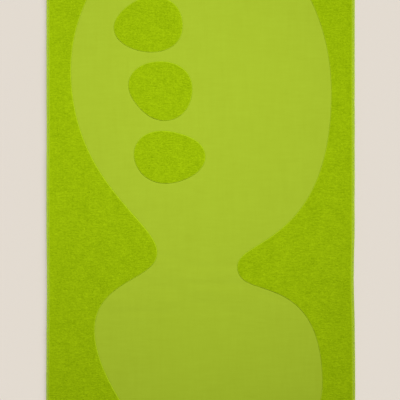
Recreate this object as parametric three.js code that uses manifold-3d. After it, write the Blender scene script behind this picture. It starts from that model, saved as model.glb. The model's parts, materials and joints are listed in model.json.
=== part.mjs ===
// A quick dry beach towel in jacquard terry: one ground cloth with looped pile on both faces, a flat
// woven hourglass left free of pile on the front, and four pile pebbles standing inside it. Each edge
// is turned twice into a hem and stitched down. A folded tape hangs the towel from its head edge, and
// a blank care label is sewn into its foot edge.
//
// Millimetres. The towel lies flat with its front face up: X runs across its width, Y along its
// length towards the head, Z up. The origin is the middle of the face that it rests on.
//
// Heights are sums of eighths and sixteenths, so faces that meet have exactly the same height.

import * as THREE from 'three';
import { mergeVertices } from 'three/addons/utils/BufferGeometryUtils.js';
import Module from 'manifold-3d';

const wasm = await Module();
wasm.setup();

// ---- Driving dimensions ----

const TOWEL_WIDTH = 800;
const TOWEL_LENGTH = 1600;
const CUT_GAP = 0.3; // left between pieces that meet along a cut

// Yarn layers, from the underside up.
const BACK_PILE_HEIGHT = 2;
const GROUND_THICKNESS = 0.75;
const WEAVE_THICKNESS = 0.5;
const FRONT_PILE_HEIGHT = 2;

// Hems, each turned twice from one ply.
const HEM_PLY = 0.625;
const HEM_PLY_GAP = 0.25; // between the under ply and the turned-in ply
const SIDE_HEM_WIDTH = 7;
const END_HEM_WIDTH = 20;
const TURN_IN_CLEARANCE = 1; // between the end of the turned-in ply and what lies further out

// Hem stitching, a raised line of thread along each hem.
const THREAD_WIDTH = 0.8;
const THREAD_HEIGHT = 0.375;
const STITCH_MARGIN = 2; // from the hem's inner edge to the middle of the line
const STITCH_END_MARGIN = 3; // left free at each end of a line

// Hourglass, given by the pile that is left round it.
const HOURGLASS_SIDE_MARGIN = 61;
const HOURGLASS_END_MARGIN = 65;
const HOURGLASS_STEPS = 168;
const PEBBLE_STEPS = 36;
// How uneven a pebble is, as shares of its radius: in two bulges and in three.
const PEBBLE_OVAL = 0.05;
const PEBBLE_BUMP = 0.04;

// Hanging loop: woven tape folded double, its two ends caught in the head hem.
const TAPE_WIDTH = 12;
const TAPE_PLY = 0.625;
const LOOP_X = 0;
const LOOP_ROOT_LENGTH = 4; // where the two plies lie on each other outside the bend
const LOOP_STEPS = 72;
const TACK_LENGTH = 14;
const TACK_WIDTH = 2;

// Care label: one blank folded ribbon, its end caught in the foot hem.
const LABEL_WIDTH = 30;
const LABEL_THICKNESS = 0.5;
const LABEL_X = -250;
const LABEL_STEPS = 36;

// Both sewn-in pieces bend on a line just outside the hem.
const TAIL_DEPTH = 8; // how far a sewn-in tail reaches into its hem
const TAIL_END_GAP = 3; // between a tail and the edge of the ground cloth inside the hem
const TAIL_SIDE_GAP = 0.2; // above and below a tail where it leaves the hem
const BEND_OUTSET = 3; // from the towel's edge to the bend
const BEND_CLEARANCE = 1.3; // between the bend line and the end of the tail
const TACK_INSET = 5; // from the towel's edge to the stitches that hold a tail

// ---- Heights that follow from the layers ----

const GROUND_TOP = BACK_PILE_HEIGHT + GROUND_THICKNESS;
const HEM_TOP = GROUND_TOP + HEM_PLY;
const TOP_PLY_MIDDLE = GROUND_TOP + HEM_PLY / 2;
const TURNED_PLY_MIDDLE = BACK_PILE_HEIGHT - HEM_PLY / 2;
const UNDER_PLY_MIDDLE = TURNED_PLY_MIDDLE - HEM_PLY - HEM_PLY_GAP;
const FOLD_RADIUS = (TOP_PLY_MIDDLE - UNDER_PLY_MIDDLE) / 2;
const FOLD_HEIGHT = (TOP_PLY_MIDDLE + UNDER_PLY_MIDDLE) / 2;
const FOLD_OUTER_RADIUS = FOLD_RADIUS + HEM_PLY / 2;

// Distances inwards from the towel's edge.
const SIDE_CLOTH_INSET = FOLD_OUTER_RADIUS + CUT_GAP;
const END_CLOTH_INSET = TAIL_DEPTH + TAIL_END_GAP;
const SIDE_TURN_END = FOLD_OUTER_RADIUS + TURN_IN_CLEARANCE;
const END_TURN_END = END_CLOTH_INSET + TURN_IN_CLEARANCE;

const PILE_HALF_WIDTH = TOWEL_WIDTH / 2 - SIDE_HEM_WIDTH - CUT_GAP;
const PILE_HALF_LENGTH = TOWEL_LENGTH / 2 - END_HEM_WIDTH - CUT_GAP;
const SIDE_HEM_LENGTH = TOWEL_LENGTH - 2 * (END_HEM_WIDTH + CUT_GAP);

// ---- Outlines ----

const HOURGLASS_HALF_WIDTH = TOWEL_WIDTH / 2 - HOURGLASS_SIDE_MARGIN;
const HOURGLASS_HALF_LENGTH = TOWEL_LENGTH / 2 - HOURGLASS_END_MARGIN;

// The eight places where the hourglass turns: the end of each lobe, and the widest place of each lobe and
// the narrowest of the neck on either side. They run clockwise from the head end. Places and reaches are
// shares of the half width and half length. At each place the outline runs along one axis, and before and
// after are how far it holds to that line on its way in and out.
const HOURGLASS_TURNS = [
  { place: [0, 1], along: [1, 0], before: 0.5, after: 0.5 },
  { place: [1, 0.38], along: [0, -1], before: 0.35, after: 0.54 },
  { place: [0.28, -0.235], along: [0, -1], before: 0.1, after: 0.13 },
  { place: [0.93, -0.65], along: [0, -1], before: 0.42, after: 0.18 },
  { place: [0, -0.98], along: [-1, 0], before: 0.5, after: 0.2 },
  { place: [-0.81, -0.46], along: [0, 1], before: 0.2, after: 0.18 },
  { place: [-0.33, -0.185], along: [0, 1], before: 0.1, after: 0.11 },
  { place: [-0.99, 0.46], along: [0, 1], before: 0.4, after: 0.29 },
];

// Pebbles: centre and half sizes in the same shares, and the turn of each one's uneven outline.
const PEBBLES = [
  { centre: [-0.245, 0.152], half: [0.262, 0.097], turn: 0.4 },
  { centre: [-0.3, 0.388], half: [0.25, 0.102], turn: 2.1 },
  { centre: [-0.39, 0.617], half: [0.275, 0.094], turn: 3.7 },
  { centre: [-0.3, 0.822], half: [0.18, 0.062], turn: 5.2 },
];

function rectangle(halfWidth, halfLength) {
  return new THREE.Shape([
    new THREE.Vector2(-halfWidth, -halfLength),
    new THREE.Vector2(halfWidth, -halfLength),
    new THREE.Vector2(halfWidth, halfLength),
    new THREE.Vector2(-halfWidth, halfLength),
  ]);
}

// The point of the hourglass's plan that lies a reach along the outline from one of its turns.
function hourglassPoint({ place, along }, reach) {
  const [x, y] = place.map((share, axis) => share + along[axis] * reach);
  return new THREE.Vector2(x * HOURGLASS_HALF_WIDTH, y * HOURGLASS_HALF_LENGTH);
}

function hourglassOutline() {
  const path = new THREE.CurvePath();
  HOURGLASS_TURNS.forEach((turn, index) => {
    const next = HOURGLASS_TURNS[(index + 1) % HOURGLASS_TURNS.length];
    const corners = [
      hourglassPoint(turn, 0),
      hourglassPoint(turn, turn.after),
      hourglassPoint(next, -next.before),
      hourglassPoint(next, 0),
    ];
    path.add(new THREE.CubicBezierCurve(...corners));
  });
  return path.getSpacedPoints(HOURGLASS_STEPS).slice(0, -1);
}

function pebbleOutline({ centre, half, turn }, outset = 0) {
  const points = [];
  for (let step = 0; step < PEBBLE_STEPS; step += 1) {
    const angle = (2 * Math.PI * step) / PEBBLE_STEPS;
    const swell = 1 + PEBBLE_OVAL * Math.cos(2 * angle + turn) + PEBBLE_BUMP * Math.cos(3 * angle - turn);
    const x = (centre[0] + half[0] * swell * Math.cos(angle)) * HOURGLASS_HALF_WIDTH;
    const y = (centre[1] + half[1] * swell * Math.sin(angle)) * HOURGLASS_HALF_LENGTH;
    points.push(new THREE.Vector2(x + outset * Math.cos(angle), y + outset * Math.sin(angle)));
  }
  return points;
}

// Moves each point of a closed outline sideways, to the left of the way it runs.
function shiftedOutline(points, distance) {
  return points.map((point, index) => {
    const before = points[(index + points.length - 1) % points.length];
    const after = points[(index + 1) % points.length];
    const along = after.clone().sub(before).normalize();
    return new THREE.Vector2(point.x - along.y * distance, point.y + along.x * distance);
  });
}

// A strip of even thickness along a centre line.
function stripShape(centreLine, thickness) {
  const upper = [];
  const lower = [];
  centreLine.forEach((point, index) => {
    const before = centreLine[Math.max(index - 1, 0)];
    const after = centreLine[Math.min(index + 1, centreLine.length - 1)];
    const along = after.clone().sub(before).normalize();
    const side = new THREE.Vector2(-along.y, along.x).multiplyScalar(thickness / 2);
    upper.push(point.clone().add(side));
    lower.push(point.clone().sub(side));
  });
  return new THREE.Shape(upper.concat(lower.reverse()));
}

// ---- Solids ----

function extruded(shape, depth) {
  return new THREE.ExtrudeGeometry(shape, { depth, bevelEnabled: false, curveSegments: 12 });
}

function toSolid(geometry) {
  const bare = geometry.clone();
  bare.deleteAttribute('normal');
  bare.deleteAttribute('uv');
  const merged = mergeVertices(bare, 1e-4);
  const vertProperties = new Float32Array(merged.attributes.position.array);
  const triVerts = new Uint32Array(merged.index.array);
  return new wasm.Manifold(new wasm.Mesh({ numProp: 3, vertProperties, triVerts }));
}

function toGeometry(solid) {
  const mesh = solid.getMesh();
  const geometry = new THREE.BufferGeometry();
  geometry.setAttribute('position', new THREE.BufferAttribute(mesh.vertProperties, 3));
  geometry.setIndex(new THREE.BufferAttribute(mesh.triVerts, 1));
  geometry.computeVertexNormals();
  return geometry;
}

function namedMesh(name, geometry, color, roughness) {
  const material = new THREE.MeshStandardMaterial({ color, roughness, metalness: 0 });
  const mesh = new THREE.Mesh(geometry, material);
  mesh.name = name;
  return mesh;
}

const PILE_GREEN = 0x98b905;
const WEAVE_GREEN = 0xadc332;
const HEM_GREEN = 0xa3bd34;
const THREAD_GREEN = 0xb4c95a;
const LABEL_WHITE = 0xf1efe6;

// ---- Cloth and pile ----

function groundCloth() {
  const outline = rectangle(TOWEL_WIDTH / 2 - SIDE_CLOTH_INSET, TOWEL_LENGTH / 2 - END_CLOTH_INSET);
  const geometry = extruded(outline, GROUND_THICKNESS);
  const mesh = namedMesh('ground_cloth', geometry, WEAVE_GREEN, 0.9);
  mesh.position.z = BACK_PILE_HEIGHT;
  return mesh;
}

function backPile() {
  const geometry = extruded(rectangle(PILE_HALF_WIDTH, PILE_HALF_LENGTH), BACK_PILE_HEIGHT);
  return namedMesh('back_pile', geometry, PILE_GREEN, 1);
}

function frontPileField(hourglass) {
  const shape = rectangle(PILE_HALF_WIDTH, PILE_HALF_LENGTH);
  shape.holes.push(new THREE.Path(hourglass));
  const mesh = namedMesh('front_pile_field', extruded(shape, FRONT_PILE_HEIGHT), PILE_GREEN, 1);
  mesh.position.z = GROUND_TOP;
  return mesh;
}

function hourglassWeave(hourglass) {
  // The outline runs clockwise, so its inside is on the right.
  const shape = new THREE.Shape(shiftedOutline(hourglass, -CUT_GAP));
  PEBBLES.forEach((pebble) => shape.holes.push(new THREE.Path(pebbleOutline(pebble, CUT_GAP))));
  const mesh = namedMesh('hourglass_weave', extruded(shape, WEAVE_THICKNESS), WEAVE_GREEN, 0.9);
  mesh.position.z = GROUND_TOP;
  return mesh;
}

function pilePebble(pebble, index) {
  const geometry = extruded(new THREE.Shape(pebbleOutline(pebble)), FRONT_PILE_HEIGHT);
  const mesh = namedMesh(`pile_pebble_${index + 1}`, geometry, PILE_GREEN, 1);
  mesh.position.z = GROUND_TOP;
  return mesh;
}

// ---- Hems ----

// The section of a hem: x runs inwards from the towel's edge and y is the height. The cloth comes
// over the top, folds down round the edge, runs back beneath and is turned in under the ground cloth.
function hemSection(width, turnEnd) {
  const turnRadius = (TURNED_PLY_MIDDLE - UNDER_PLY_MIDDLE) / 2;
  const turnCentre = width - HEM_PLY / 2 - turnRadius;
  const path = new THREE.Path();
  path.moveTo(width, TOP_PLY_MIDDLE);
  path.lineTo(FOLD_OUTER_RADIUS, TOP_PLY_MIDDLE);
  path.absarc(FOLD_OUTER_RADIUS, FOLD_HEIGHT, FOLD_RADIUS, Math.PI / 2, 1.5 * Math.PI, false);
  path.lineTo(turnCentre, UNDER_PLY_MIDDLE);
  path.absarc(turnCentre, UNDER_PLY_MIDDLE + turnRadius, turnRadius, -Math.PI / 2, Math.PI / 2, false);
  path.lineTo(turnEnd, TURNED_PLY_MIDDLE);
  return stripShape(withoutRepeats(path.getPoints(12)), HEM_PLY);
}

function withoutRepeats(points) {
  return points.filter((point, index) => index === 0 || point.distanceTo(points[index - 1]) > 1e-6);
}

// Lays an extrusion whose section is (inwards, height) along the left edge of the towel, centred.
function laidAlongLeft(geometry, length) {
  const laid = geometry.clone();
  laid.rotateX(Math.PI / 2);
  laid.translate(0, length / 2, 0);
  return laid;
}

// A slot through the fold for a sewn-in tail, in the same place as laidAlongLeft puts the hem.
function tailSlot(width, thickness, along) {
  const slotHeight = thickness + 2 * TAIL_SIDE_GAP;
  const slot = new THREE.BoxGeometry(2 * FOLD_OUTER_RADIUS, width + 2 * CUT_GAP, slotHeight);
  slot.translate(0, along, FOLD_HEIGHT);
  return slot;
}

function hemGeometry(width, turnEnd, length, slot) {
  const laid = laidAlongLeft(extruded(hemSection(width, turnEnd), length), length);
  return slot ? toGeometry(toSolid(laid).subtract(toSolid(slot))) : laid;
}

function stitchingGeometry(width, length) {
  const run = length - 2 * STITCH_END_MARGIN;
  const line = new THREE.BoxGeometry(THREAD_WIDTH, run, THREAD_HEIGHT);
  line.translate(width - STITCH_MARGIN, 0, HEM_TOP + THREAD_HEIGHT / 2);
  return line;
}

// A group whose local x runs inwards from one edge of the towel. The left edge needs no turn.
function edgeGroup(distance, turn) {
  const group = new THREE.Group();
  group.rotation.z = turn;
  const local = new THREE.Group();
  local.position.x = -distance;
  group.add(local);
  return { group, local };
}

function hemmedEdge({ name, distance, turn, width, turnEnd, length, slot }) {
  const { group, local } = edgeGroup(distance, turn);
  local.add(namedMesh(`${name}_hem`, hemGeometry(width, turnEnd, length, slot), HEM_GREEN, 0.9));
  const stitching = stitchingGeometry(width, length);
  local.add(namedMesh(`${name}_hem_stitching`, stitching, THREAD_GREEN, 0.7));
  return { group, local };
}

// ---- Sewn-in loop and label ----

// Half turns of the towel put the head edge and the foot edge on the left. The place along the edge
// is then measured along local y.
const HEAD_TURN = -Math.PI / 2;
const FOOT_TURN = Math.PI / 2;
const LOOP_ALONG = LOOP_X;
const LABEL_ALONG = -LABEL_X;

// The tail lies in the hem and ends just short of the bend, outside the edge.
function tailGeometry(width, thickness, along) {
  const reach = TAIL_DEPTH + BEND_OUTSET - BEND_CLEARANCE;
  const tail = new THREE.BoxGeometry(reach, width, thickness);
  tail.translate(TAIL_DEPTH - reach / 2, along, FOLD_HEIGHT);
  return tail;
}

// Stitches over a tail, on top of the hem.
function tackGeometry(width, length, along) {
  const tack = new THREE.BoxGeometry(width, length, THREAD_HEIGHT);
  tack.translate(TACK_INSET, along, HEM_TOP + THREAD_HEIGHT / 2);
  return tack;
}

// Places a section drawn as (outwards from the bend, height above the bend) outside the edge.
function outsideEdge(geometry, width, along) {
  const placed = geometry.clone();
  placed.rotateX(Math.PI / 2);
  placed.rotateZ(Math.PI);
  placed.translate(-BEND_OUTSET, along - width / 2, FOLD_HEIGHT);
  return placed;
}

// A smooth line through a few points that never sinks below the given height.
function drapedLine(knots, steps, lowest) {
  const points = new THREE.SplineCurve(knots.map(([x, y]) => new THREE.Vector2(x, y))).getPoints(steps);
  return points.map((point) => new THREE.Vector2(point.x, Math.max(point.y, lowest)));
}

// Tape: out of the root, up over the eye, round the tip and back along the surface beneath.
function hangLoopGeometry() {
  const half = TAPE_PLY / 2;
  const floor = half - FOLD_HEIGHT;
  const knots = [
    [2.5, half], [6.5, 1], [13, 4], [22, 6.5], [31, 6.8], [38.5, 4.9], [42.5, 1.6], [41, -1],
    [36, floor], [28, floor], [20, floor], [12, floor], [6.5, -0.9], [2.5, -half],
  ];
  const eye = toSolid(extruded(stripShape(drapedLine(knots, LOOP_STEPS, floor), TAPE_PLY), TAPE_WIDTH));
  const root = new THREE.BoxGeometry(LOOP_ROOT_LENGTH, 2 * TAPE_PLY, TAPE_WIDTH);
  root.translate(LOOP_ROOT_LENGTH / 2, 0, TAPE_WIDTH / 2);
  return toGeometry(eye.add(toSolid(root)));
}

// Ribbon: out of the root, down to the surface beneath and flat along it.
function careLabelGeometry() {
  const floor = LABEL_THICKNESS / 2 - FOLD_HEIGHT;
  const knots = [[0, 0], [4, -0.2], [9, -1], [14, -1.6], [20, floor], [30, floor], [42, floor]];
  return extruded(stripShape(drapedLine(knots, LABEL_STEPS, floor), LABEL_THICKNESS), LABEL_WIDTH);
}

function addLoop(edge) {
  const geometry = outsideEdge(hangLoopGeometry(), TAPE_WIDTH, LOOP_ALONG);
  const tail = tailGeometry(TAPE_WIDTH, 2 * TAPE_PLY, LOOP_ALONG);
  const tack = tackGeometry(TACK_WIDTH, TACK_LENGTH, LOOP_ALONG);
  edge.add(namedMesh('hang_loop', geometry, HEM_GREEN, 0.85));
  edge.add(namedMesh('hang_loop_tail', tail, HEM_GREEN, 0.85));
  edge.add(namedMesh('hang_loop_bartack', tack, THREAD_GREEN, 0.7));
}

function addLabel(edge) {
  const geometry = outsideEdge(careLabelGeometry(), LABEL_WIDTH, LABEL_ALONG);
  const tail = tailGeometry(LABEL_WIDTH, LABEL_THICKNESS, LABEL_ALONG);
  const row = tackGeometry(THREAD_WIDTH, LABEL_WIDTH, LABEL_ALONG);
  edge.add(namedMesh('care_label', geometry, LABEL_WHITE, 0.5));
  edge.add(namedMesh('care_label_tail', tail, LABEL_WHITE, 0.5));
  edge.add(namedMesh('care_label_stitching', row, THREAD_GREEN, 0.7));
}

// ---- Assembly ----

const sideHem = {
  distance: TOWEL_WIDTH / 2,
  width: SIDE_HEM_WIDTH,
  turnEnd: SIDE_TURN_END,
  length: SIDE_HEM_LENGTH,
};
const endHem = {
  distance: TOWEL_LENGTH / 2,
  width: END_HEM_WIDTH,
  turnEnd: END_TURN_END,
  length: TOWEL_WIDTH,
};
const loopSlot = tailSlot(TAPE_WIDTH, 2 * TAPE_PLY, LOOP_ALONG);
const labelSlot = tailSlot(LABEL_WIDTH, LABEL_THICKNESS, LABEL_ALONG);

const towel = new THREE.Group();
const hourglass = hourglassOutline();
towel.add(groundCloth());
towel.add(backPile());
towel.add(frontPileField(hourglass));
towel.add(hourglassWeave(hourglass));
PEBBLES.forEach((pebble, index) => towel.add(pilePebble(pebble, index)));

const left = hemmedEdge({ ...sideHem, name: 'left_side', turn: 0 });
const right = hemmedEdge({ ...sideHem, name: 'right_side', turn: Math.PI });
const head = hemmedEdge({ ...endHem, name: 'head', turn: HEAD_TURN, slot: loopSlot });
const foot = hemmedEdge({ ...endHem, name: 'foot', turn: FOOT_TURN, slot: labelSlot });
addLoop(head.local);
addLabel(foot.local);
[left, right, head, foot].forEach((edge) => towel.add(edge.group));

export default towel;
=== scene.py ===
"""A quick dry beach towel in lime jacquard terry, laid out flat with its front face up.

Metres, +Z up. X runs across the towel, Y along it towards the head edge with the hanging loop. Every
layer, hem, stitch row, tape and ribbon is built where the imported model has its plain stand-in.
"""

import json
import math

import bmesh
import bpy
import numpy as np
from mathutils import Matrix, Vector
from mathutils.kdtree import KDTree


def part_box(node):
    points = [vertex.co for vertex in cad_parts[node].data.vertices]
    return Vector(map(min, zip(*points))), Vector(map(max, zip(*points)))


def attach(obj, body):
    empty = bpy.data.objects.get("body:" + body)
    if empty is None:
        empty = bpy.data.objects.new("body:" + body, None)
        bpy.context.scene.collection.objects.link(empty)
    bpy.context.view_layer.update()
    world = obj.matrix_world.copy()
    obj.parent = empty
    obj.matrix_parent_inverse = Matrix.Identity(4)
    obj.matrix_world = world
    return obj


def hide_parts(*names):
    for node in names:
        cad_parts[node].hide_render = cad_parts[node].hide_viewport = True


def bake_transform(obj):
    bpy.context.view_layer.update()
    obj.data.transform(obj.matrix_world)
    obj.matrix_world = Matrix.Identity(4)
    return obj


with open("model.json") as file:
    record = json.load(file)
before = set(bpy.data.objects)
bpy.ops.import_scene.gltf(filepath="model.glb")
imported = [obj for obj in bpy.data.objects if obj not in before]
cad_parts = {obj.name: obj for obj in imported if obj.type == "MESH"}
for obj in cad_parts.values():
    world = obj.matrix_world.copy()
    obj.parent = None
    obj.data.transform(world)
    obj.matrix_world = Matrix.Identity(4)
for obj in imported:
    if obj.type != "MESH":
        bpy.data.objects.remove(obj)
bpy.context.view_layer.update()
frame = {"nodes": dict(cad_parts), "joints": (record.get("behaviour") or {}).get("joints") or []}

MM = 0.001
WELD = 1e-6
ON_LINE = 10 * WELD  # points this near a line or a face lie on it
FACING = 0.9  # least share of a face's normal along an axis for it to look that way
TURNED = 0.5  # and the most for the face across its edge
SNAP_SHARE = 0.51  # of a grid square; points this near the outline are moved onto it
SLIVER_SHARE = 0.06  # of a grid square; smaller faces on a cut rim are dropped

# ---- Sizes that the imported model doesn't hold ----

PILE_PITCH = 2.8 * MM  # between the points of a front pile surface
BACK_PITCH = 4.2 * MM
WEAVE_PITCH = 3.2 * MM
GROUND_PITCH = 9.0 * MM
UNDER_PITCH = 9.0 * MM
UNDER_INSET = 5.0 * MM
OUTLINE_STEP = 2.0 * MM

# The edge of a pile layer, from its top to its base, in mm: how far inside a curved outline, how far
# inside a straight outer side, where the outermost loops lean over the hem, and how far down as a share
# of the pile's height.
PILE_EDGE_START = 1.9
PILE_EDGE = [
    (1.3, 0.7, 0.07), (0.8, -0.6, 0.18), (0.4, -1.4, 0.36),
    (0.15, -1.3, 0.56), (0.0, 0.0, 0.7), (0.0, 0.0, 1.0),
]
WEAVE_EDGE_START = 0.3
WEAVE_EDGE = [(-0.35, 0.0, 0.3), (-0.25, 0.0, 1.0)]
GROUND_EDGE = [(0.0, 0.0, 1.0)]
# Loops that stand a little higher or lower than their neighbours: cell size and rise, in mm.
PILE_CLUMPS = [(2.9, 0.42), (6.5, 0.2), (19.0, 0.12)]
WEAVE_CLUMPS = [(7.0, 0.025), (24.0, 0.05)]

FLOOR_GAP = 0.02 * MM

STITCH_PITCH = 3.1 * MM
STITCH_LENGTH = 2.6 * MM
STITCH_RADIUS = 0.3 * MM
STITCH_FLATNESS = 0.8  # its height as a share of its width
STITCH_SINK = 0.1 * MM  # from the top of the hem down to the middle of a stitch
UNDER_SINK = 0.08 * MM  # and from its underside up
STITCH_LEAN = 0.08  # across the row, per length along it
STITCH_UNEVENNESS = 0.04 * MM
TACK_PITCH = 0.52 * MM
TACK_LENGTH = 2.3 * MM

HEM_STEP = 0.9 * MM  # between points round a hem's section
HEM_ROW_PITCH = 0.9 * STITCH_PITCH
SEAM_DEPTH = 0.1 * MM  # how far each ply is drawn in at a seam
SEAM_REACH = 1.3 * MM  # and how far to either side
SEAM_BEAT = 0.25  # rise and fall of that depth along the stitches, as a share
HEM_PUFF = 0.12 * MM
HEM_PUFF_CELL = 9 * MM
HEM_WAVER = 0.25 * MM
HEM_WAVER_CELL = 23 * MM

STRIP_EDGE = 0.3  # the rounding of a strip's edges as a share of its thickness
CURVE_STEPS = 12  # between two knots of a route

# ---- How the cloth lies ----

HALF_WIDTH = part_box("head_hem")[1].x
HALF_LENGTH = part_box("head_hem")[1].y
NECK_Y = -0.2
NECK_REACH = 0.085
NECK_PULL = {-1: 1.1 * MM, 1: 2.5 * MM}  # each side is drawn in at the neck
SPREAD_Y = -0.5
SPREAD_REACH = 0.12
SPREAD = 0.9 * MM  # and both spread a little nearer the foot
SIDE_WAVER = 0.35 * MM
SIDE_WAVER_CELL = 0.11
EDGE_ZONE = 55 * MM
EDGE_CURL = {-1: 3.0 * MM, 1: 0.3 * MM}  # how far each side edge lifts off the floor
EDGE_DRAW = {-1: 1.1 * MM, 1: 0.0}  # and how far that draws it in
EDGE_RIPPLE = 0.9 * MM
EDGE_RIPPLE_CELL = 0.07
EDGE_OFFSET = 3  # metres either way in the noise, so that the two edges ripple differently
SWELLS = [(0.8 * MM, 0.21, 12), (0.35 * MM, 0.08, 13)]  # rise, cell size and seed
CREASE_RISE = 0.45 * MM
CREASE_Y = NECK_Y - 0.03
CREASE_REACH = (0.3, 0.1)  # across the towel and along it
CREASE_CELL = 0.017
CREASE_STRETCH = 0.18  # how fast a crease changes across the towel, as a share of along it
CREASE_SLANT = 0.06
CREASE_WANDER = 0.02
CREASE_WANDER_CELL = 0.13

LATTICE = 256  # random values along each side of the noise's table
LATTICE_START = 1000  # cells, so that none has a number below 0


def lattice_noise(x, y, cell, seed):
    """Smooth random values from -1 to 1 over a square lattice of that cell size."""
    rng = np.random.default_rng(seed)
    table = rng.uniform(-1, 1, (LATTICE, LATTICE))
    u, v = x / cell + LATTICE_START, y / cell + LATTICE_START
    i, j = np.floor(u).astype(int), np.floor(v).astype(int)
    s, t = u - i, v - j
    s, t = s * s * (3 - 2 * s), t * t * (3 - 2 * t)
    i, j = i % (LATTICE - 1), j % (LATTICE - 1)
    low = table[i, j] * (1 - s) + table[i + 1, j] * s
    high = table[i, j + 1] * (1 - s) + table[i + 1, j + 1] * s
    return low * (1 - t) + high * t


def hump(at, middle, reach):
    """1 at the middle, falling smoothly to almost 0 two reaches away."""
    return np.exp(-(((at - middle) / reach) ** 2))


def settled(points):
    """Where the flat towel's points go once the cloth lies relaxed: sides drawn in a little at the
    neck, long low swells, faint creases across the neck and side edges that lift off the floor."""
    x, y, z = points.T.copy()
    side = np.sign(x)
    fade = np.clip(1 - (np.abs(y) / HALF_LENGTH) ** 4, 0, 1)
    pull = np.where(side > 0, NECK_PULL[1], NECK_PULL[-1])
    drawn = pull * hump(y, NECK_Y, NECK_REACH) - SPREAD * hump(y, SPREAD_Y, SPREAD_REACH)
    drawn = drawn + SIDE_WAVER * lattice_noise(side, y, SIDE_WAVER_CELL, 11)
    edge = np.clip((np.abs(x) - HALF_WIDTH) / EDGE_ZONE + 1, 0, 1) ** 2
    curl_in = edge * np.where(side > 0, EDGE_DRAW[1], EDGE_DRAW[-1])
    new_x = x - side * (drawn * (np.abs(x) / HALF_WIDTH) ** 3 + curl_in) * fade
    swell = sum(rise * (1 + lattice_noise(x, y, cell, seed)) for rise, cell, seed in SWELLS)
    near_neck = hump(x, 0, CREASE_REACH[0]) * hump(y, CREASE_Y, CREASE_REACH[1])
    lean = y + CREASE_SLANT * x + CREASE_WANDER * lattice_noise(x, y, CREASE_WANDER_CELL, 14)
    crease = CREASE_RISE * near_neck * (1 + lattice_noise(x * CREASE_STRETCH, lean, CREASE_CELL, 16))
    ripple = EDGE_RIPPLE * (1 + lattice_noise(side * EDGE_OFFSET, y, EDGE_RIPPLE_CELL, 15)) * edge
    curl = edge * np.where(side > 0, EDGE_CURL[1], EDGE_CURL[-1])
    return np.stack([new_x, y, z + (swell + crease + ripple + curl) * fade], axis=1)


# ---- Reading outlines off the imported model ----


def merged_copy(node):
    """A CAD node's faces with the corners that lie in one place joined."""
    shape = bmesh.new()
    shape.from_mesh(frame["nodes"][node].data)
    bmesh.ops.remove_doubles(shape, verts=shape.verts, dist=WELD)
    shape.normal_update()
    return shape


def face_outlines(node, axis, sign):
    """The closed outlines of a node's flat face that looks along an axis (0, 1 or 2) or against it, as
    arrays of the other two coordinates, the one that reaches furthest first."""
    shape = merged_copy(node)
    reach = max(sign * vert.co[axis] for vert in shape.verts)
    links = {}
    for edge in shape.edges:
        on_face = all(abs(sign * vert.co[axis] - reach) < ON_LINE for vert in edge.verts)
        turns = [sign * face.normal[axis] for face in edge.link_faces]
        if on_face and len(turns) == 2 and max(turns) > FACING and min(turns) < TURNED:
            for vert in edge.verts:
                links.setdefault(vert.index, []).append(edge.other_vert(vert).index)
    kept = [index for index in range(3) if index != axis]
    shape.verts.ensure_lookup_table()
    outlines = []
    while links:
        start = current = next(iter(links))
        loop, previous = [], None
        while current in links:
            loop.append([shape.verts[current].co[index] for index in kept])
            choices = links.pop(current)
            step = choices[0] if choices[0] != previous else choices[1]
            previous, current = current, step
        outlines.append(np.array(loop))
        assert current == start
    shape.free()
    return sorted(outlines, key=lambda loop: -float(np.ptp(loop, axis=0).sum()))


def between(before, here, after, beyond, t):
    """The point at share t of the way from here to after, on a smooth curve through all four points."""
    straight = 2 * here + (after - before) * t
    bend = (2 * before - 5 * here + 4 * after - beyond) * t**2
    return (straight + bend + (3 * here - before - 3 * after + beyond) * t**3) / 2


def rounded(outline):
    """The closed outline again as a smooth curve through its corners, in steps of about OUTLINE_STEP."""
    before, after, beyond = (np.roll(outline, shift, axis=0) for shift in (1, -1, -2))
    side = float(np.linalg.norm(after - outline, axis=1).mean())
    steps = max(1, round(side / OUTLINE_STEP))
    curve = [between(before, outline, after, beyond, t) for t in np.arange(steps) / steps]
    return np.stack(curve, axis=1).reshape(-1, 2)


def signed_area(outline):
    """The area inside the outline, above 0 if it runs anticlockwise."""
    after = np.roll(outline, -1, axis=0)
    return float((outline[:, 0] * after[:, 1] - outline[:, 1] * after[:, 0]).sum() / 2)


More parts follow.
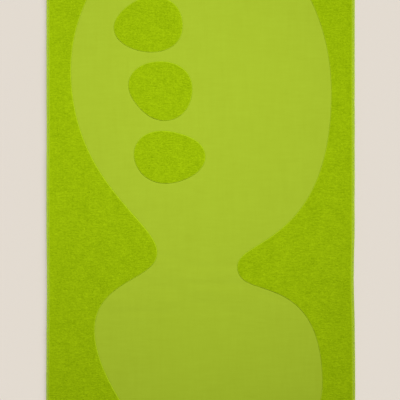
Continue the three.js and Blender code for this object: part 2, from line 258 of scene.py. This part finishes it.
class Region:
    """The plan of one layer of the towel: an outer outline and any holes."""

    def __init__(self, outlines):
        starts, ends = [], []
        for number, outline in enumerate(outlines):
            turn = signed_area(outline) * (1 if number == 0 else -1)
            outline = outline if turn > 0 else outline[::-1]
            starts.append(outline)
            ends.append(np.roll(outline, -1, axis=0))
        self.start, self.end = np.concatenate(starts), np.concatenate(ends)
        self.low, self.high = outlines[0].min(axis=0), outlines[0].max(axis=0)
        self.square = len(outlines[0]) == 4
        along = self.end - self.start
        self.length = np.linalg.norm(along, axis=1)
        self.along = along / self.length[:, None]
        self.outward = np.stack([self.along[:, 1], -self.along[:, 0]], axis=1)
        # Long straight sides are looked up by points along them.
        counts = [max(1, math.ceil(size / (2 * OUTLINE_STEP))) for size in self.length]
        self.tree_side = np.repeat(np.arange(len(counts)), counts)
        shares = np.concatenate([(np.arange(count) + 0.5) / count for count in counts])
        spots = self.start[self.tree_side] + shares[:, None] * along[self.tree_side]
        self.tree = KDTree(len(spots))
        for i, (x, y) in enumerate(spots):
            self.tree.insert((x, y, 0), i)
        self.tree.balance()

    def measure(self, points):
        """For each point, how far it lies inside the rim, the nearest point of the rim and the way out."""
        side = self.tree_side[[self.tree.find((x, y, 0))[1] for x, y in points]]
        run = ((points - self.start[side]) * self.along[side]).sum(axis=1)
        rim = self.start[side] + np.clip(run, 0, self.length[side])[:, None] * self.along[side]
        depth = ((rim - points) * self.outward[side]).sum(axis=1)
        return depth, rim, self.outward[side]

    def stepped(self, points, old, new):
        """Points on a rim that lies old inside the outline, moved to lie new inside it. Both are pairs,
        for curved outlines and for straight outer sides."""
        _, rim, outward = self.measure(points)
        moved = rim - outward * new[0]
        if self.square:
            corner = points.copy()
            outer = np.zeros(len(points), bool)
            for axis in (0, 1):
                for edge, way in ((self.low[axis], 1), (self.high[axis], -1)):
                    on_side = np.abs(points[:, axis] - (edge + way * old[1])) < ON_LINE
                    corner[on_side, axis] = edge + way * new[1]
                    outer |= on_side
            moved[outer] = corner[outer]
        return moved


# ---- Making layers ----


def flat_grid(region, pitch, inset):
    """Quads over the region at height 0, with their rim at inset inside its outline."""
    low, high = region.low + inset, region.high - inset
    columns, rows = (max(1, round(float(size) / pitch)) for size in high - low)
    shape = bmesh.new()
    place = Matrix.Translation((*((low + high) / 2), 0)) @ Matrix.Diagonal((*(high - low), 1, 1))
    bmesh.ops.create_grid(shape, x_segments=columns, y_segments=rows, size=0.5, matrix=place)
    points = np.array([vert.co.xy for vert in shape.verts])
    depth, rim, outward = region.measure(points)
    depth -= inset
    reach = SNAP_SHARE * float(((high - low) / (columns, rows)).max())
    outside = depth < -reach
    for index in np.flatnonzero(np.abs(depth) <= reach):
        shape.verts.ensure_lookup_table()
        shape.verts[index].co.xy = rim[index] - outward[index] * inset
    for face in list(shape.faces):
        out = [vert for vert in face.verts if outside[vert.index]]
        if len(out) == 1:
            corner = list(face.verts).index(out[0])
            bmesh.utils.face_split(face, face.verts[corner - 1], face.verts[(corner + 1) % 4])
    leaving = [vert for vert in shape.verts if outside[vert.index]]
    bmesh.ops.delete(shape, geom=leaving, context="VERTS")
    slivers = [face for face in shape.faces if face.calc_area() < SLIVER_SHARE * pitch**2]
    bmesh.ops.delete(shape, geom=slivers, context="FACES")
    bmesh.ops.delete(shape, geom=[vert for vert in shape.verts if not vert.link_faces], context="VERTS")
    return shape


def close_layer(shape, region, edge_start, edge, top, base):
    """Takes the rim of a flat grid at height top out and down through an edge profile, and closes the
    layer with a coarser grid at height base."""
    # Marks the layer's edge walls, which the pile material paints paler as a painted highlight.
    rim_highlight_mask = shape.verts.layers.float.new("rim")
    for vert in shape.verts:
        vert.co.z = top
    rim_edges = [line for line in shape.edges if line.is_boundary]
    reached = (edge_start * MM, edge_start * MM)
    for inset, outer_inset, drop in edge:
        made = bmesh.ops.extrude_edge_only(shape, edges=rim_edges)["geom"]
        rim_edges = [part for part in made if isinstance(part, bmesh.types.BMEdge) and part.is_boundary]
        verts = [part for part in made if isinstance(part, bmesh.types.BMVert)]
        insets = (inset * MM, outer_inset * MM)
        spots = region.stepped(np.array([vert.co.xy for vert in verts]), reached, insets)
        reached = insets
        for vert, spot in zip(verts, spots):
            vert.co = (*spot, top + (base - top) * drop)
            vert[rim_highlight_mask] = 1.0
    under = to_mesh(flat_grid(region, UNDER_PITCH, UNDER_INSET))
    known = set(shape.edges)
    shape.from_mesh(under)
    bpy.data.meshes.remove(under)
    added = [line for line in shape.edges if line not in known]
    for vert in {vert for line in added for vert in line.verts}:
        vert.co.z = base
    rim_edges += [line for line in added if line.is_boundary]
    bmesh.ops.triangle_fill(shape, use_beauty=True, use_dissolve=False, edges=rim_edges)
    bmesh.ops.recalc_face_normals(shape, faces=shape.faces)


def layer(node, facing, pitch, edge, edge_start, clumps, seed):
    """One layer of loops or flat weave in place of a CAD plate. facing is 1 if its surface looks up."""
    outlines = face_outlines(node, 2, facing)
    region = Region([loop if len(loop) == 4 else rounded(loop) for loop in outlines])
    low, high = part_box(node)
    top, base = (high.z, low.z) if facing > 0 else (low.z, high.z)
    shape = flat_grid(region, pitch, edge_start * MM)
    close_layer(shape, region, edge_start, edge, top, base)
    mesh = to_mesh(shape)
    points = points_of(mesh)
    raised = np.clip((points[:, 2] - base) / (top - base) * 2 - 1, 0, 1)
    for number, (cell, rise) in enumerate(clumps):
        wave = lattice_noise(points[:, 0], points[:, 1], cell * MM, seed + number)
        points[:, 2] += facing * raised * rise * MM * wave
    if facing < 0:
        points[:, 2] = np.maximum(points[:, 2], FLOOR_GAP)
    set_points(mesh, settled(points))
    return mesh


def to_mesh(shape):
    mesh = bpy.data.meshes.new("cloth")
    shape.to_mesh(mesh)
    shape.free()
    return mesh


def new_object(name, mesh):
    obj = bpy.data.objects.new(name, mesh)
    bpy.context.scene.collection.objects.link(obj)
    return obj


def finished_mesh(obj):
    """The object's mesh with its modifiers applied. The object itself goes."""
    view = bpy.context.evaluated_depsgraph_get()
    mesh = bpy.data.meshes.new_from_object(obj.evaluated_get(view))
    plain = obj.data
    bpy.data.objects.remove(obj)
    bpy.data.meshes.remove(plain)
    return mesh


def points_of(mesh):
    flat = np.empty(len(mesh.vertices) * 3)
    mesh.vertices.foreach_get("co", flat)
    return flat.reshape(-1, 3)


def set_points(mesh, points):
    mesh.vertices.foreach_set("co", points.astype(np.float32).ravel())
    mesh.update()


def add_piece(name, mesh, material, slot, body, *nodes):
    """Names a finished mesh and puts it in the frame in place of its CAD nodes."""
    mesh.name = name
    mesh.shade_smooth()
    mesh.materials.clear()
    mesh.materials.append(material)
    obj = new_object(name, mesh)
    if body:
        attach(obj, body)
    if nodes:
        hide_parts(*nodes)
    return obj


# ---- Hems ----


def resampled(outline, spacing):
    """The closed outline with points added so that none are further apart than spacing."""
    points = []
    for here, there in zip(outline, np.roll(outline, -1, axis=0)):
        steps = max(1, math.ceil(float(np.linalg.norm(there - here)) / spacing))
        points += [here + (there - here) * i / steps for i in range(steps)]
    return np.array(points)


def hem_mesh(node, axis, seam, seed):
    """A hem: the CAD section swept along the edge, with the ply drawn down at each stitch of the seam."""
    low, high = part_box(node)
    outline = resampled(face_outlines(node, axis, 1)[0], HEM_STEP)
    across = 1 - axis
    steps = round((high[axis] - low[axis]) / HEM_ROW_PITCH)
    shape = bmesh.new()
    bmesh.ops.create_grid(shape, x_segments=len(outline), y_segments=steps, size=0.5)
    for vert in shape.verts:
        spot = outline[round((vert.co.x + 0.5) * len(outline)) % len(outline)]
        run = vert.co.y + 0.5
        vert.co[axis] = low[axis] + (high[axis] - low[axis]) * run
        vert.co[across] = spot[0]
        vert.co.z = spot[1]
    bmesh.ops.remove_doubles(shape, verts=shape.verts, dist=WELD)
    open_ends = [line for line in shape.edges if line.is_boundary]
    bmesh.ops.triangle_fill(shape, use_beauty=True, edges=open_ends)
    bmesh.ops.recalc_face_normals(shape, faces=shape.faces)
    mesh = to_mesh(shape)
    points = points_of(mesh)
    middle = (low.z + high.z) / 2
    upper = np.sign(points[:, 2] - middle)
    from_seam = (points[:, across] - seam) / SEAM_REACH
    along = points[:, axis]
    beat = 1 - SEAM_BEAT + SEAM_BEAT * np.cos(2 * math.pi * along / STITCH_PITCH)
    points[:, 2] -= upper * SEAM_DEPTH * np.exp(-(from_seam**2)) * beat
    puff = lattice_noise(along, along * 0 + seam, HEM_PUFF_CELL, seed)
    points[:, 2] += upper * HEM_PUFF * puff * np.clip(np.abs(from_seam), 0, 1)
    outward = np.sign(points[:, across])
    points[:, across] += outward * HEM_WAVER * lattice_noise(along, along * 0, HEM_WAVER_CELL, seed + 1)
    set_points(mesh, settled(points))
    return mesh


def stitch_row(node, hem, axis, seed, pitch=STITCH_PITCH, length=STITCH_LENGTH, turned=False):
    """A row of lockstitches along the axis where the CAD has one raised line, on top of the hem and
    beneath it. Turned stitches lie across the row, as in a bar tack."""
    low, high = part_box(node)
    hem_low, hem_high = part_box(hem)
    run = high[axis] - low[axis]
    count = max(2, round(run / pitch))
    across = 1 - axis
    stitch_axis = across if turned else axis
    size = [STITCH_RADIUS] * 3
    size[stitch_axis] = length / 2
    size[2] = STITCH_RADIUS * STITCH_FLATNESS
    stride = [0.0, 0.0, 0.0]
    stride[axis] = run / count
    start = [(low.x + high.x) / 2, (low.y + high.y) / 2, 0.0]
    start[axis] = low[axis] + run / count / 2
    shape = bmesh.new()
    for level in (hem_high.z - STITCH_SINK, hem_low.z + UNDER_SINK):
        start[2] = level
        place = Matrix.Translation(start) @ Matrix.Diagonal((*size, 1))
        bmesh.ops.create_uvsphere(shape, u_segments=6, v_segments=5, radius=1, matrix=place)
    row = new_object("row", to_mesh(shape))
    repeat = row.modifiers.new("repeat", "ARRAY")
    repeat.use_relative_offset, repeat.use_constant_offset = False, True
    repeat.constant_offset_displace, repeat.count = stride, count
    mesh = finished_mesh(row)
    points = points_of(mesh)
    rng = np.random.default_rng(seed)
    stitch = np.round((points[:, axis] - start[axis]) / stride[axis]).astype(int)
    jitter = rng.uniform(-1, 1, (count + 2, 2))
    lean = (points[:, axis] - (start[axis] + stitch * stride[axis])) * STITCH_LEAN
    points[:, across] += lean * (1 + 0.5 * jitter[stitch, 0]) * (0 if turned else 1)
    points[:, 2] += STITCH_UNEVENNESS * jitter[stitch, 1]
    set_points(mesh, settled(points))
    return mesh


# ---- Tape and ribbon ----


def route_points(knots, spacing):
    """A smooth line through (outwards, up) knots in mm, with points evenly spaced along it, in metres."""
    knots = np.array(knots, float) * MM
    padded = np.vstack([2 * knots[0] - knots[1], knots, 2 * knots[-1] - knots[-2]])
    line = []
    for i in range(len(knots) - 1):
        before, here, after, beyond = padded[i : i + 4]
        line += [between(before, here, after, beyond, t) for t in np.arange(CURVE_STEPS) / CURVE_STEPS]
    line = np.array(line + [knots[-1]])
    run = np.concatenate([[0], np.cumsum(np.linalg.norm(np.diff(line, axis=0), axis=1))])
    at = np.linspace(0, run[-1], max(2, round(run[-1] / spacing) + 1))
    return np.stack([np.interp(at, run, line[:, k]) for k in range(2)], axis=1), float(run[-1])


def ribbon_mesh(route, width, thickness, bend, outward, columns):
    """A flat woven strip bent along a route drawn outwards and up from a bend line of the towel. Its UV
    map runs across the strip and along it."""
    rows = len(route) - 1
    shape = bmesh.new()
    bmesh.ops.create_grid(shape, x_segments=columns, y_segments=rows, size=0.5, calc_uvs=False)
    uv = shape.loops.layers.uv.new("strip")
    for face in shape.faces:
        for loop in face.loops:
            loop[uv].uv = (loop.vert.co.x + 0.5, loop.vert.co.y + 0.5)
    for vert in shape.verts:
        out, up = route[round((vert.co.y + 0.5) * rows)]
        across = vert.co.x * width
        vert.co = (bend[0] + across, bend[1] + outward * out, bend[2] + up)
    obj = new_object("strip", to_mesh(shape))
    solid = obj.modifiers.new("ply", "SOLIDIFY")
    solid.thickness, solid.offset = thickness, 0
    soft = obj.modifiers.new("edge", "BEVEL")
    soft.width, soft.segments, soft.limit_method = thickness * STRIP_EDGE, 2, "ANGLE"
    return finished_mesh(obj)


# ---- Materials ----


def new_group(name, inputs, outputs):
    """A shader node group with named sockets. inputs and outputs map a name to its socket type."""
    tree = bpy.data.node_groups.new(name, "ShaderNodeTree")
    for label, kind in inputs.items():
        tree.interface.new_socket(label, in_out="INPUT", socket_type=kind)
    for label, kind in outputs.items():
        tree.interface.new_socket(label, in_out="OUTPUT", socket_type=kind)
    return tree, tree.nodes.new("NodeGroupInput"), tree.nodes.new("NodeGroupOutput")


def math_node(tree, operation, a, b=None, c=None):
    """A calculation on sockets or plain numbers, as an output socket."""
    node = tree.nodes.new("ShaderNodeMath")
    node.operation = operation
    for socket, value in zip(node.inputs, (a, b, c)):
        if isinstance(value, bpy.types.NodeSocket):
            tree.links.new(value, socket)
        elif value is not None:
            socket.default_value = value
    return node.outputs[0]


def noise_node(tree, vector, scale, detail=2.0, roughness=0.5):
    node = tree.nodes.new("ShaderNodeTexNoise")
    node.inputs["Detail"].default_value = detail
    node.inputs["Roughness"].default_value = roughness
    tree.links.new(vector, node.inputs["Vector"])
    node.inputs["Scale"].default_value = scale
    return node.outputs["Fac"]


def weighted_sum(tree, parts, start):
    """The start value plus each socket times its share."""
    total = start
    for socket, share in parts:
        total = math_node(tree, "MULTIPLY_ADD", socket, share, total)
    return total


def scaled_vector(tree, vector, scale):
    node = tree.nodes.new("ShaderNodeMapping")
    node.inputs["Scale"].default_value = scale
    tree.links.new(vector, node.inputs["Vector"])
    return node.outputs["Vector"]


FLOAT, VECTOR = "NodeSocketFloat", "NodeSocketVector"
# How far the pile's edge walls are painted towards their paler rim colour: a painted highlight all round
# each pile edge, which also lightens the shade on its walls.
RIM_HIGHLIGHT_STRENGTH = 0.8
SHEEN_ROUGHNESS = 0.6
MIX_SHARE, MIX_FROM, MIX_TO, MIX_RESULT = 0, 6, 7, 2  # the Mix node's colour sockets
TONE_RANGE = (0.1, 0.9)  # tones at which a cloth has its dark and its light colour
GLOW_REACH = (2.0 * MM, 2.4 * MM, 0.6 * MM)  # how far light spreads inside the folded hem


def loops_group():
    """Terry loops: rounded tops standing close together, in clumps and faint rows across the towel."""
    tree, given, out = new_group(
        "terry_loops", {"Vector": VECTOR, "Loops per metre": FLOAT}, {"Height": FLOAT, "Tone": FLOAT}
    )
    cells = tree.nodes.new("ShaderNodeTexVoronoi")
    cells.feature = "SMOOTH_F1"
    cells.inputs["Smoothness"].default_value = 0.35
    cells.inputs["Randomness"].default_value = 0.85
    stretched = scaled_vector(tree, given.outputs["Vector"], (1.25, 0.8, 1.0))
    tree.links.new(stretched, cells.inputs["Vector"])
    tree.links.new(given.outputs["Loops per metre"], cells.inputs["Scale"])
    top = math_node(tree, "SUBTRACT", 1.0, cells.outputs["Distance"])
    place = given.outputs["Vector"]
    strands = noise_node(tree, place, 2600.0, 1.0)
    clumps = noise_node(tree, scaled_vector(tree, place, (0.45, 1.0, 1.0)), 400.0, 2.0, 0.7)
    rows = noise_node(tree, scaled_vector(tree, place, (0.16, 1.0, 1.0)), 330.0, 1.0)
    columns = noise_node(tree, scaled_vector(tree, place, (1.0, 0.12, 1.0)), 260.0, 1.0)
    wide = noise_node(tree, place, 26.0, 2.0)
    height = weighted_sum(tree, [(top, 1.6), (strands, 0.3), (clumps, 1.3)], 0.0)
    tree.links.new(height, out.inputs["Height"])
    # The tone rises with the loop tops and the clumps, which also make the relief. The pile is painted
    # lighter where it stands higher and darker in the hollows: painted shade. The rows, columns and wide
    # patches are random tone.
    shares = [(clumps, 1.2), (rows, 0.45), (columns, 0.2), (wide, 0.25), (top, 0.5)]
    tree.links.new(weighted_sum(tree, shares, -0.8), out.inputs["Tone"])
    return tree


def weave_group():
    """Warp and weft passing over and under each other, with slightly uneven yarns."""
    tree, given, out = new_group(
        "plain_weave", {"Vector": VECTOR, "Yarns per metre": FLOAT}, {"Height": FLOAT, "Tone": FLOAT}
    )
    split = tree.nodes.new("ShaderNodeSeparateXYZ")
    tree.links.new(given.outputs["Vector"], split.inputs[0])
    turns = math_node(tree, "MULTIPLY", given.outputs["Yarns per metre"], math.pi)
    waves = []
    for label in ("X", "Y"):
        reach = math_node(tree, "ADD", split.outputs[label], split.outputs["Z"])
        waves.append(math_node(tree, "SINE", math_node(tree, "MULTIPLY", reach, turns)))
    height = math_node(tree, "MULTIPLY_ADD", math_node(tree, "MULTIPLY", waves[0], waves[1]), 0.5, 0.5)
    tree.links.new(height, out.inputs["Height"])
    place = given.outputs["Vector"]
    slub = noise_node(tree, scaled_vector(tree, place, (0.05, 1.0, 1.0)), 420.0, 1.0)
    warp_slub = noise_node(tree, scaled_vector(tree, place, (1.0, 0.04, 1.0)), 380.0, 1.0)
    wide = noise_node(tree, place, 14.0, 2.0)
    bands = noise_node(tree, scaled_vector(tree, place, (0.2, 1.0, 1.0)), 120.0, 2.0)
    stripes = noise_node(tree, scaled_vector(tree, place, (1.0, 0.15, 1.0)), 90.0, 1.0)
    shares = [(slub, 0.4), (warp_slub, 0.3), (wide, 0.3), (bands, 0.6), (stripes, 0.4)]
    tree.links.new(weighted_sum(tree, shares, -0.5), out.inputs["Tone"])
    return tree


def cloth_material(
    name, group, density, dark, light, bump, roughness, shine, sheen=0.0, rim_highlight_colour=None, glow=0.0
):
    """A cloth whose group gives its relief and its change of tone between two colours. Given a rim colour,
    its edge walls get a painted highlight.
    """
    material = bpy.data.materials.new(name)
    material.use_nodes = True
    tree = material.node_tree
    shader = tree.nodes["Principled BSDF"]
    shader.inputs["Roughness"].default_value = roughness
    shader.inputs["Specular IOR Level"].default_value = shine
    shader.inputs["Sheen Weight"].default_value = sheen
    shader.inputs["Sheen Roughness"].default_value = SHEEN_ROUGHNESS
    shader.inputs["Sheen Tint"].default_value = (*light, 1)
    place = tree.nodes.new("ShaderNodeTexCoord")
    cloth = tree.nodes.new("ShaderNodeGroup")
    cloth.node_tree = group
    tree.links.new(place.outputs["Object"], cloth.inputs["Vector"])
    cloth.inputs[1].default_value = density
    ramp = tree.nodes.new("ShaderNodeValToRGB")
    for stop, position, shade in zip(ramp.color_ramp.elements, TONE_RANGE, (dark, light)):
        stop.position = position
        stop.color = (*shade, 1)
    tree.links.new(cloth.outputs["Tone"], ramp.inputs["Fac"])
    colour = ramp.outputs["Color"]
    # The edge walls marked "rim" are painted paler and brighter all round: a painted highlight that also
    # lightens the shade on the walls facing away from the lamp.
    if rim_highlight_colour:
        share = tree.nodes.new("ShaderNodeAttribute")
        share.attribute_name = "rim"
        with_highlight = tree.nodes.new("ShaderNodeMix")
        with_highlight.data_type = "RGBA"
        with_highlight.inputs[MIX_TO].default_value = (*rim_highlight_colour, 1)
        highlight_share = math_node(tree, "MULTIPLY", share.outputs["Fac"], RIM_HIGHLIGHT_STRENGTH)
        tree.links.new(highlight_share, with_highlight.inputs[MIX_SHARE])
        tree.links.new(colour, with_highlight.inputs[MIX_FROM])
        colour = with_highlight.outputs[MIX_RESULT]
    tree.links.new(colour, shader.inputs["Base Color"])
    if glow:
        shader.inputs["Subsurface Weight"].default_value = glow
        shader.inputs["Subsurface Radius"].default_value = GLOW_REACH
        shader.inputs["Subsurface Scale"].default_value = 1.0
    relief = tree.nodes.new("ShaderNodeBump")
    relief.inputs["Distance"].default_value = bump
    relief.inputs["Strength"].default_value = 1.0
    tree.links.new(cloth.outputs["Height"], relief.inputs["Height"])
    tree.links.new(relief.outputs["Normal"], shader.inputs["Normal"])
    return material


LOOPS, WEAVE = loops_group(), weave_group()
PILE_LIME = cloth_material(
    "lime_terry", LOOPS, density=560.0, dark=(0.201, 0.323, 0.0008), light=(0.362, 0.528, 0.0040),
    bump=0.4 * MM, roughness=1.0, shine=0.0, rim_highlight_colour=(0.40, 0.56, 0.014),
)
WEAVE_LIME = cloth_material(
    "lime_flat_weave", WEAVE, density=1400.0, dark=(0.325, 0.438, 0.0192), light=(0.352, 0.477, 0.0245),
    bump=0.06 * MM, roughness=0.9, shine=0.05,
)
HEM_LIME = cloth_material(
    "lime_hem_cloth", WEAVE, density=1250.0, dark=(0.36, 0.50, 0.026), light=(0.405, 0.56, 0.038),
    bump=0.1 * MM, roughness=0.9, shine=0.1, glow=0.6,
)
THREAD_LIME = cloth_material(
    "lime_thread", WEAVE, density=2500.0, dark=(0.38, 0.52, 0.06), light=(0.43, 0.57, 0.09),
    bump=0.05 * MM, roughness=0.6, shine=0.3, sheen=0.1,
)
TAPE_LIME = cloth_material(
    "lime_tape", WEAVE, density=1000.0, dark=(0.33, 0.47, 0.026), light=(0.375, 0.53, 0.04),
    bump=0.12 * MM, roughness=0.8, shine=0.2, sheen=0.1,
)
LABEL_SATIN = cloth_material(
    "label_satin", WEAVE, density=3500.0, dark=(0.66, 0.65, 0.60), light=(0.71, 0.70, 0.66),
    bump=0.03 * MM, roughness=0.45, shine=0.5,
)

# ---- The towel ----

ground = add_piece(
    "ground_cloth_sheet",
    layer("ground_cloth", 1, GROUND_PITCH, GROUND_EDGE, 0.0, [], 1),
    WEAVE_LIME, "flat_weave", "towel", "ground_cloth",
)
layers = [
    add_piece(
        "back_terry",
        layer("back_pile", -1, BACK_PITCH, PILE_EDGE, PILE_EDGE_START, PILE_CLUMPS, 20),
        PILE_LIME, "terry_pile", "towel", "back_pile",
    ),
    add_piece(
        "front_terry_field",
        layer("front_pile_field", 1, PILE_PITCH, PILE_EDGE, PILE_EDGE_START, PILE_CLUMPS, 30),
        PILE_LIME, "terry_pile", "towel", "front_pile_field",
    ),
    add_piece(
        "hourglass_flat_weave",
        layer("hourglass_weave", 1, WEAVE_PITCH, WEAVE_EDGE, WEAVE_EDGE_START, WEAVE_CLUMPS, 40),
        WEAVE_LIME, "flat_weave", "towel", "hourglass_weave",
    ),
]
for number in (1, 2, 3, 4):
    node = f"pile_pebble_{number}"
    layers.append(add_piece(
        f"terry_pebble_{number}",
        layer(node, 1, PILE_PITCH, PILE_EDGE, PILE_EDGE_START, PILE_CLUMPS, 50 + 5 * number),
        PILE_LIME, "terry_pile", "towel", node,
    ))

hem_axes = {"left_side": 1, "right_side": 1, "head": 0, "foot": 0}
for number, (edge_name, axis) in enumerate(hem_axes.items()):
    hem_node, row_node = f"{edge_name}_hem", f"{edge_name}_hem_stitching"
    row_low, row_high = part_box(row_node)
    seam = (row_low[1 - axis] + row_high[1 - axis]) / 2
    mesh = hem_mesh(hem_node, axis, seam, 80 + 2 * number)
    layers.append(add_piece(f"{edge_name}_turned_hem", mesh, HEM_LIME, "hem_cloth", "towel", hem_node))
    mesh = stitch_row(row_node, hem_node, axis, 90 + number)
    layers.append(
        add_piece(f"{edge_name}_lockstitch", mesh, THREAD_LIME, "sewing_thread", "towel", row_node)
    )
layers.append(add_piece(
    "loop_bar_tack",
    stitch_row("hang_loop_bartack", "head_hem", 0, 95, TACK_PITCH, TACK_LENGTH, turned=True),
    THREAD_LIME, "sewing_thread", "towel", "hang_loop_bartack",
))
layers.append(add_piece(
    "label_lockstitch",
    stitch_row("care_label_stitching", "foot_hem", 0, 96),
    THREAD_LIME, "sewing_thread", "towel", "care_label_stitching",
))

joints = {joint["name"]: joint for joint in frame["joints"]}
STRIP_FLOOR_GAP = 0.03  # mm, under the tape and under the label

# The tape goes out of the hem, up over the eye and back along the floor into the hem.
TAPE_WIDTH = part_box("hang_loop")[1].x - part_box("hang_loop")[0].x
TAPE_PLY = 0.6  # mm, like the routes below
PLY_GAP = 0.02  # between the tape's two plies in the hem
LOOP_BEND = joints["loop_swing"]["pos_m"]
TAIL_REACH = (LOOP_BEND[1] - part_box("hang_loop_tail")[0].y) / MM
PLY_MIDDLE = (TAPE_PLY + PLY_GAP) / 2
TAPE_FLOOR = TAPE_PLY / 2 - LOOP_BEND[2] / MM + STRIP_FLOOR_GAP
tape_route, tape_length = route_points(
    [
        (-TAIL_REACH, PLY_MIDDLE), (-5, PLY_MIDDLE), (0, PLY_MIDDLE), (2.5, PLY_MIDDLE),
        (6.5, 1.0), (13, 4.0), (22, 6.5), (31, 6.8), (38.5, 4.9), (42.3, 1.6), (41, -1.0),
        (36, TAPE_FLOOR), (28, TAPE_FLOOR), (20, TAPE_FLOOR), (12, TAPE_FLOOR), (6.5, -0.9),
        (2.5, -PLY_MIDDLE), (0, -PLY_MIDDLE), (-5, -PLY_MIDDLE), (-TAIL_REACH, -PLY_MIDDLE),
    ],
    0.6 * MM,
)
tape = add_piece(
    "hanging_tape",
    ribbon_mesh(tape_route, TAPE_WIDTH, TAPE_PLY * MM, LOOP_BEND, 1, 10),
    TAPE_LIME, "loop_tape", None, "hang_loop", "hang_loop_tail",
)
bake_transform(tape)

# The ribbon is folded double at its free end.
LABEL_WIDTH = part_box("care_label")[1].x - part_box("care_label")[0].x
LABEL_BEND = joints["label_flip"]["pos_m"]
LABEL_REACH = (LABEL_BEND[1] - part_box("care_label")[0].y) / MM
LABEL_PLY = 0.2
LABEL_HALF = 0.15  # from the middle of the folded ribbon to the middle of either ply
LABEL_FLOOR = LABEL_HALF + LABEL_PLY / 2 - LABEL_BEND[2] / MM + STRIP_FLOOR_GAP
label_tail = (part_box("care_label_tail")[1].y - LABEL_BEND[1]) / MM
label_line = [
    (-label_tail, 0), (-5, 0), (0, 0), (4, -0.2), (9, -0.95), (14, -1.5), (20, LABEL_FLOOR),
    (27, LABEL_FLOOR), (34, LABEL_FLOOR + 0.1), (LABEL_REACH - 1.5, LABEL_FLOOR + 0.5),
]
label_tip = [(LABEL_REACH - 0.7, LABEL_FLOOR + 0.62)]
upper = [(out, up + LABEL_HALF) for out, up in label_line]
lower = [(out, up - LABEL_HALF) for out, up in reversed(label_line)]
label_route, label_length = route_points(upper + label_tip + lower, 0.5 * MM)
label = add_piece(
    "blank_care_ribbon",
    ribbon_mesh(label_route, LABEL_WIDTH, LABEL_PLY * MM, LABEL_BEND, -1, 12),
    LABEL_SATIN, "label_ribbon", None, "care_label", "care_label_tail",
)
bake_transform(label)

# ---- Stage ----

FLOOR_DROP = 0.1 * MM
FLOOR_HALF = 60.0
floor_shape = bmesh.new()
floor_place = Matrix.Translation((0, 0, -FLOOR_DROP))
bmesh.ops.create_grid(floor_shape, x_segments=1, y_segments=1, size=FLOOR_HALF, matrix=floor_place)
floor_mesh = to_mesh(floor_shape)
floor_material = bpy.data.materials.new("pale_floor")
floor_material.use_nodes = True
floor_shader = floor_material.node_tree.nodes["Principled BSDF"]
floor_shader.inputs["Base Color"].default_value = (0.857, 0.794, 0.716, 1)
floor_shader.inputs["Roughness"].default_value = 1.0
floor_shader.inputs["Specular IOR Level"].default_value = 0.0
floor_mesh.materials.append(floor_material)
floor = new_object("floor", floor_mesh)

world = bpy.data.worlds.new("studio")
world.use_nodes = True
world.node_tree.nodes["Background"].inputs["Color"].default_value = (1.0, 0.985, 0.96, 1)
world.node_tree.nodes["Background"].inputs["Strength"].default_value = 0.265
bpy.context.scene.world = world


def lit_only(name, objects):
    """A collection for lights that reach only these objects."""
    group = bpy.data.collections.new(name)
    for obj in objects:
        group.objects.link(obj)
    return group


def new_light(name, kind, place, target, power, receivers):
    """A lamp that looks from its place to the target and lights only its receivers."""
    data = bpy.data.lights.new(name, kind)
    data.energy = power
    lamp = bpy.data.objects.new(name, data)
    lamp.location = place
    lamp.rotation_mode = "QUATERNION"
    lamp.rotation_quaternion = (Vector(target) - Vector(place)).to_track_quat("-Z", "Y")
    lamp.visible_camera = False
    lamp.light_linking.receiver_collection = receivers
    bpy.context.scene.collection.objects.link(lamp)
    return data


# A gridded softbox towards the head, so the cloth falls off evenly down its length, and a faint fill
# from the left. The backdrop has its own even light.
on_towel = lit_only("lit_cloth", [ground, tape, label] + layers)
on_floor = lit_only("lit_floor", [floor])
softbox = new_light(
    "softbox", "AREA", place=(0.7, 1.4, 2.3), target=(-0.35, -0.2, 0), power=18.2, receivers=on_towel
)
softbox.shape, softbox.size, softbox.size_y = "RECTANGLE", 1.4, 0.5
softbox.spread = math.radians(80)
left_fill = new_light(
    "left_fill", "AREA", place=(-1.5, 0.9, 1.0), target=(-0.2, 0.2, 0), power=2.15, receivers=on_towel
)
left_fill.shape, left_fill.size, left_fill.size_y = "RECTANGLE", 0.8, 0.8
floor_top = new_light(
    "floor_top", "SUN", place=(0, 0, 3), target=(0, 0, 0), power=1.44, receivers=on_floor
)
floor_top.angle = math.radians(20)
floor_side = new_light(
    "floor_side", "SUN", place=(1.2, 0.5, 1.2), target=(0, 0, 0), power=0.8, receivers=on_floor
)
floor_side.angle = math.radians(50)

LENS, SENSOR = 85.0, 36.0
VIEW_WIDTH = 1.0368  # at the height of the cloth's top
VIEW_MIDDLE_X = -1.3 * MM
CLOTH_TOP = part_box("front_pile_field")[1].z
camera_data = bpy.data.cameras.new("camera")
camera_data.lens, camera_data.sensor_width = LENS, SENSOR
camera = bpy.data.objects.new("camera", camera_data)
camera.location = (VIEW_MIDDLE_X, 0, CLOTH_TOP + VIEW_WIDTH * LENS / SENSOR)
bpy.context.scene.collection.objects.link(camera)
bpy.context.scene.camera = camera
bpy.context.scene.view_settings.view_transform = "Standard"
